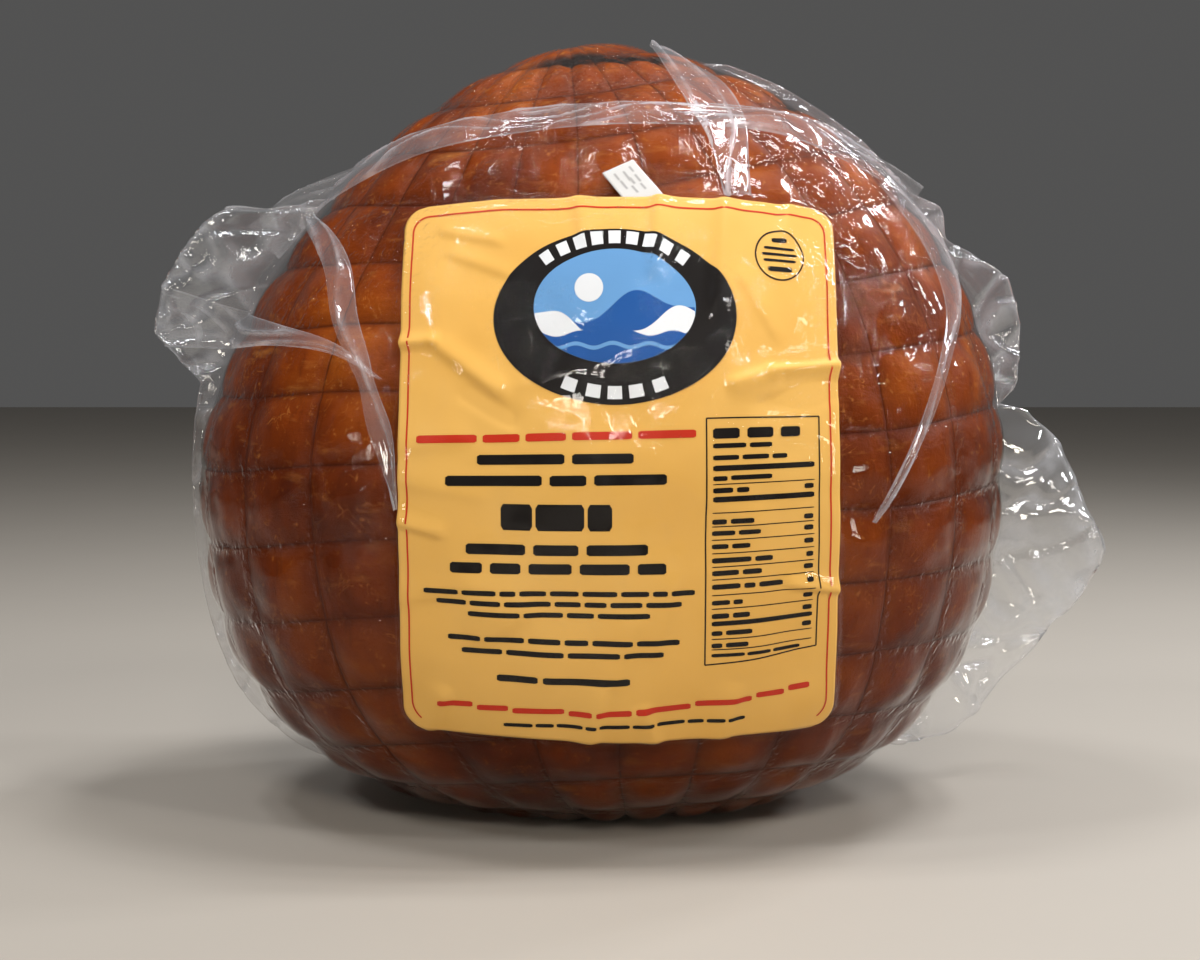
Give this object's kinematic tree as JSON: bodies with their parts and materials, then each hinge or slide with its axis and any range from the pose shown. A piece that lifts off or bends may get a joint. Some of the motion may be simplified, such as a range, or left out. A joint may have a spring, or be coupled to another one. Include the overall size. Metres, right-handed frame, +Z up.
{
  "type": "vacuum-packed smoked ham",
  "caption": "Whole boneless smoked ham with net-pressed squares, sealed in a clear film bag with a plain yellow front label and a small white date sticker.",
  "frame": {"origin": "middle of the flat spot that the ham stands on", "axes": "+Z up through the net's gather at the crown; the label faces -Y; +X to the right as seen from the front"},
  "size_m": [0.2865, 0.2009, 0.2208],
  "materials": {
    "ham": "moist smoked skin under clear film, gloss",
    "film": "clear glossy bag film",
    "label": "coated paper, slight gloss",
    "sticker": "matt"
  },
  "bodies": {
    "root": {"bagged_ham": "ham", "front_label": "label", "date_sticker": "sticker"}
  },
  "joints": []
}
